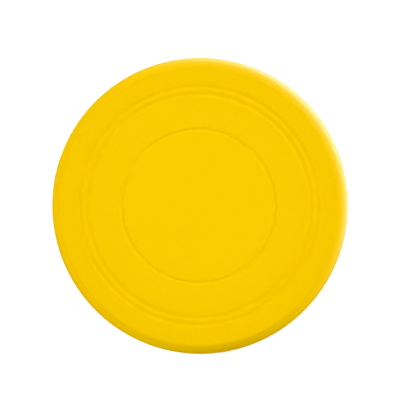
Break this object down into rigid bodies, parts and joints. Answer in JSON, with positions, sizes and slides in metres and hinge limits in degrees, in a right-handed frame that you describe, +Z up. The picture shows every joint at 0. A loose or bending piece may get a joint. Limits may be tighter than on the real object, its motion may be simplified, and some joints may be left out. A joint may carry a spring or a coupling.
{
  "type": "flying disc",
  "caption": "Round soft flying disc with a flat plate, shallow ring grooves, a rounded shoulder and a deep beaded rim, open below.",
  "frame": {"origin": "on the disc's axis, in the plane that its lip rests on", "axes": "+Z up along the disc's axis, out of the top of the plate; +X and +Y are any two square directions across the disc, because it is round"},
  "size_m": [0.18, 0.18, 0.022],
  "materials": {
    "silicone": "matte"
  },
  "bodies": {
    "root": {"disc": "silicone"}
  },
  "joints": []
}
